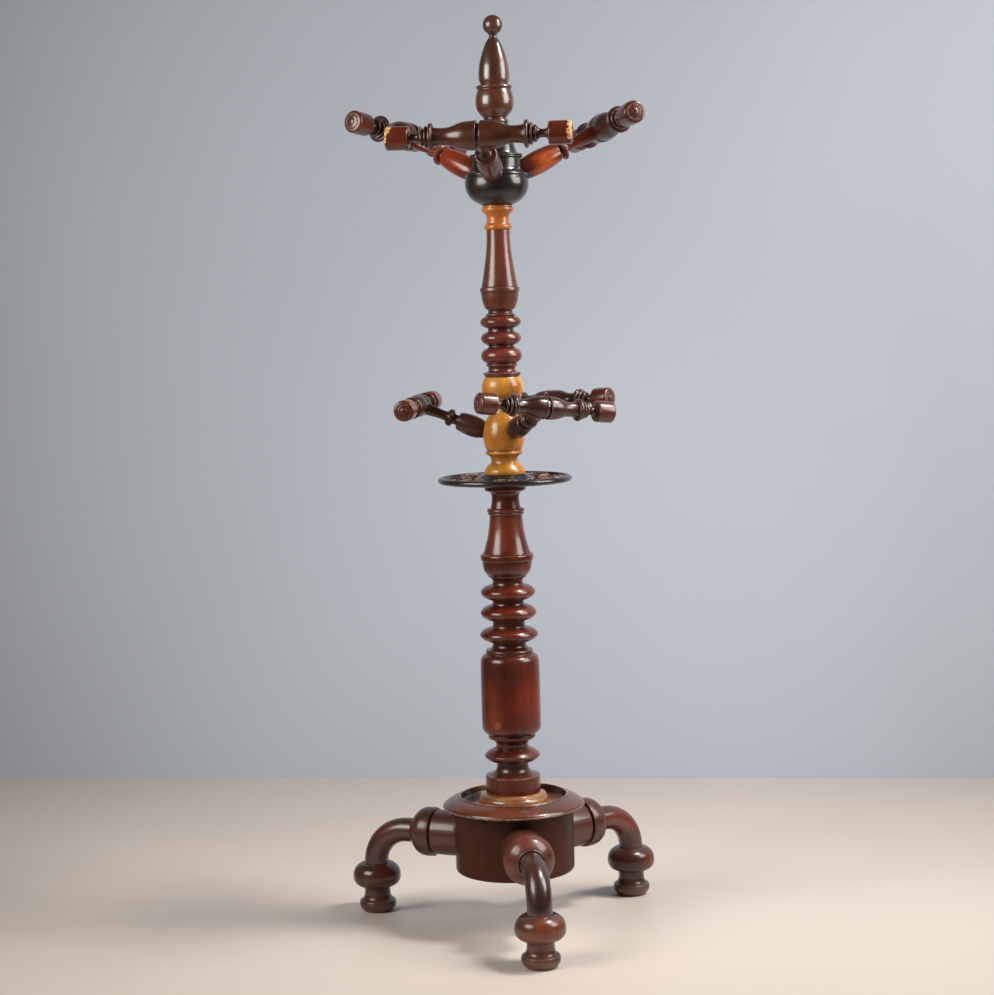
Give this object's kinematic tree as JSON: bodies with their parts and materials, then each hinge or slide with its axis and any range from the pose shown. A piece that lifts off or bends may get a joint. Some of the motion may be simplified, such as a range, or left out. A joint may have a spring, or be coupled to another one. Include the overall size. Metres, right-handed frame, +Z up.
{
  "type": "coat rack",
  "caption": "Free-standing coat rack of turned wood: a column on a drum base with bent legs, a disc that holds walking sticks, and swivelling tiers of T-shaped pegs.",
  "frame": {"origin": "on the floor, on the column's axis", "axes": "+Z up along the column; -Y the front, seen in the picture; +X to the right of someone who faces the front"},
  "size_m": [0.6678, 0.6951, 1.9197],
  "materials": {
    "mahogany": "deep red-brown, glossy varnish, worn at the edges",
    "dark_base": "dark brown varnish, rubbed on the lid's edge",
    "ochre": "light ochre wood, clear glossy varnish",
    "ebonised": "ebonised black, polished",
    "steel": "dull old steel"
  },
  "bodies": {
    "stand": {"drum": "dark_base", "lid": "dark_base", "base_moulding": "ochre", "base_screw": "steel", "base_washer": "steel", "leg_socket_front": "dark_base", "leg_socket_right": "dark_base", "leg_socket_left": "dark_base", "leg_front": "mahogany", "leg_right": "mahogany", "leg_left": "mahogany", "foot_front": "mahogany", "foot_right": "mahogany", "foot_left": "mahogany", "lower_spindle": "mahogany", "stick_disc": "ebonised", "stick_ring_1": "mahogany", "stick_ring_2": "mahogany", "stick_ring_3": "mahogany", "stick_ring_4": "mahogany", "stick_ring_5": "mahogany", "stick_ring_6": "mahogany", "stick_ring_7": "mahogany", "stick_ring_8": "mahogany", "upper_spindle": "mahogany", "ring_collar": "ochre"},
    "lower_tier": {"middle_hub": "ochre", "lower_spoke_front": "mahogany", "lower_peg_bar_front": "mahogany", "lower_spoke_right": "mahogany", "lower_peg_bar_right": "mahogany", "lower_spoke_left": "mahogany", "lower_peg_bar_left": "mahogany"},
    "crown": {"crown_hub": "ebonised", "finial_cup": "mahogany", "finial_drop": "mahogany", "upper_spoke_front": "mahogany", "upper_peg_bar_front": "mahogany", "upper_spoke_right": "mahogany", "upper_peg_bar_right": "mahogany", "upper_spoke_left": "mahogany", "upper_peg_bar_left": "mahogany"}
  },
  "joints": [
    {"name": "lower_tier_swivel", "type": "hinge", "parent": "stand", "child": "lower_tier", "pos_m": [0, 0, 0.9656], "axis": [0, 0, 1], "continuous": true},
    {"name": "crown_swivel", "type": "hinge", "parent": "stand", "child": "crown", "pos_m": [0, 0, 1.527], "axis": [0, 0, 1], "continuous": true}
  ]
}
